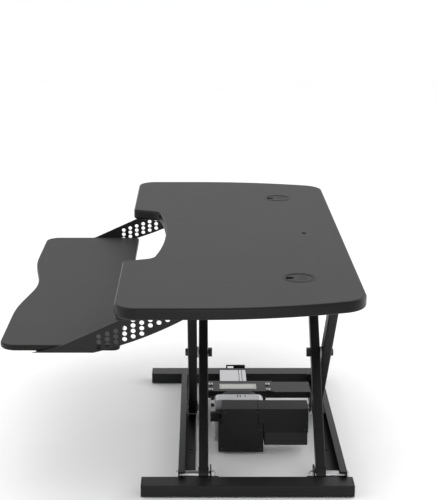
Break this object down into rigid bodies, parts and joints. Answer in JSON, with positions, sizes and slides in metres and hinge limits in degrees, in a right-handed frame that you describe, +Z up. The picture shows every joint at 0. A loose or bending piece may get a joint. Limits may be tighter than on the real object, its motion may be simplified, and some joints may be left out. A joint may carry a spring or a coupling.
{
  "type": "standing desk converter",
  "caption": "Sit-stand desk converter: wide scooped desktop, lower keyboard tray on perforated brackets, scissor lift on floor rails, electric spindle drive.",
  "frame": {"origin": "on the surface it stands on, under the middle of the overall box", "axes": "+X the user's right, -Y towards the user, +Z up"},
  "size_m": [1.219, 0.762, 0.5096],
  "materials": {
    "desk_laminate": "matte dark laminate with a black edge band",
    "black_steel": "black powder coat",
    "zinc_steel": "zinc plated",
    "black_plastic": "moulded, fine texture",
    "grey_plastic": "moulded, fine texture",
    "rubber": "matte",
    "aluminium": "satin anodised",
    "label": "blank satin foil",
    "nylon": "smooth",
    "circuit_green": "solder mask",
    "brass": "machined",
    "dark_steel": "black oxide"
  },
  "bodies": {
    "base": {"base_rails": "black_steel", "rail_end_caps": "black_plastic", "rubber_feet": "rubber", "base_channels": "black_steel", "base_brackets": "black_steel", "base_screws": "dark_steel", "lower_pivot_bolts": "zinc_steel", "actuator_anchor": "black_steel", "actuator_inner_tube": "aluminium", "spindle_nut": "brass"},
    "inner_legs": {"inner_leg_front": "black_steel", "inner_leg_rear": "black_steel", "inner_tie_bar": "black_steel", "upper_roller_shaft": "zinc_steel"},
    "outer_legs": {"outer_leg_front": "black_steel", "outer_leg_rear": "black_steel", "upper_pivot_shaft": "zinc_steel", "outer_leg_spacers": "nylon", "lower_axles": "zinc_steel", "centre_bolts": "dark_steel", "centre_nuts": "dark_steel"},
    "platform": {"desktop": "desk_laminate", "platform_screws": "dark_steel", "keyboard_tray": "desk_laminate", "tray_bracket_left": "black_steel", "tray_bracket_right": "black_steel", "upper_channels": "black_steel", "upper_pivot_brackets": "black_steel", "hand_switch_housing": "black_plastic", "grommet_liners": "black_plastic"},
    "carriage": {"carriage_beam": "black_steel", "carriage_cheeks": "black_steel", "saddle_plate": "black_steel", "saddle_screws": "dark_steel", "blank_label": "label", "actuator_outer_tube": "aluminium", "spindle_bearing": "zinc_steel", "gear_housing": "aluminium", "drive_hood": "aluminium", "hood_cap": "black_plastic", "drive_plate": "black_steel", "motor_body": "dark_steel", "motor_cover": "black_plastic", "control_box_cover": "black_plastic", "control_box_base": "grey_plastic", "power_inlet": "black_plastic", "circuit_board": "circuit_green", "transformer": "dark_steel", "cable_entry_block": "black_plastic"},
    "spindle_assembly": {"spindle": "zinc_steel", "drive_gear": "dark_steel"},
    "motor_rotor": {"motor_rotor": "dark_steel"},
    "upper_roller_front": {"upper_roller_front": "nylon"},
    "upper_roller_rear": {"upper_roller_rear": "nylon"},
    "lower_roller_front": {"lower_roller_front": "nylon"},
    "lower_roller_rear": {"lower_roller_rear": "nylon"},
    "grommet_cap_left": {"grommet_cap_left": "black_plastic"},
    "grommet_cap_right": {"grommet_cap_right": "black_plastic"},
    "up_button": {"up_button": "grey_plastic"},
    "down_button": {"down_button": "grey_plastic"}
  },
  "joints": [
    {"name": "lift", "type": "hinge", "parent": "base", "child": "inner_legs", "pos_m": [0.307, 0.1797, 0.022], "axis": [0, 1, 0], "range_deg": [-38.07, 0]},
    {"name": "scissor_centre", "type": "hinge", "parent": "inner_legs", "child": "outer_legs", "pos_m": [0.10066, 0.1797, 0.24382], "axis": [0, 1, 0], "range_deg": [0, 76.14]},
    {"name": "platform_pivot", "type": "hinge", "parent": "outer_legs", "child": "platform", "pos_m": [0.307, 0.1797, 0.46563], "axis": [0, 1, 0], "range_deg": [-38.07, 0]},
    {"name": "carriage_pivot", "type": "hinge", "parent": "outer_legs", "child": "carriage", "pos_m": [-0.10568, 0.1797, 0.022], "axis": [0, 1, 0], "range_deg": [-38.07, 0]},
    {"name": "spindle_spin", "type": "hinge", "parent": "carriage", "child": "spindle_assembly", "pos_m": [0.08, 0.128, 0.029], "axis": [1, 0, 0], "continuous": true},
    {"name": "motor_spin", "type": "hinge", "parent": "carriage", "child": "motor_rotor", "pos_m": [0.08, 0.128, 0.0515], "axis": [1, 0, 0], "continuous": true},
    {"name": "upper_roller_front_spin", "type": "hinge", "parent": "inner_legs", "child": "upper_roller_front", "pos_m": [-0.10568, 0.0007, 0.46563], "axis": [0, 1, 0], "continuous": true},
    {"name": "lower_roller_front_spin", "type": "hinge", "parent": "outer_legs", "child": "lower_roller_front", "pos_m": [-0.10568, 0.0007, 0.022], "axis": [0, 1, 0], "continuous": true},
    {"name": "upper_roller_rear_spin", "type": "hinge", "parent": "inner_legs", "child": "upper_roller_rear", "pos_m": [-0.10568, 0.3587, 0.46563], "axis": [0, 1, 0], "continuous": true},
    {"name": "lower_roller_rear_spin", "type": "hinge", "parent": "outer_legs", "child": "lower_roller_rear", "pos_m": [-0.10568, 0.3587, 0.022], "axis": [0, 1, 0], "continuous": true},
    {"name": "grommet_cap_left_lift", "type": "slide", "parent": "platform", "child": "grommet_cap_left", "axis": [0, 0, 1], "range_m": [0, 0.03]},
    {"name": "grommet_cap_right_lift", "type": "slide", "parent": "platform", "child": "grommet_cap_right", "axis": [0, 0, 1], "range_m": [0, 0.03]},
    {"name": "up_button_press", "type": "slide", "parent": "platform", "child": "up_button", "axis": [0, 1, 0], "range_m": [0, 0.0015], "stiffness_N_per_m": 600},
    {"name": "down_button_press", "type": "slide", "parent": "platform", "child": "down_button", "axis": [0, 1, 0], "range_m": [0, 0.0015], "stiffness_N_per_m": 600}
  ],
  "couplings": [
    {"joint": "scissor_centre", "follows": "lift", "ratio": -2},
    {"joint": "platform_pivot", "follows": "lift", "ratio": 1},
    {"joint": "carriage_pivot", "follows": "lift", "ratio": 1},
    {"joint": "motor_spin", "follows": "spindle_spin", "ratio": -2}
  ]
}
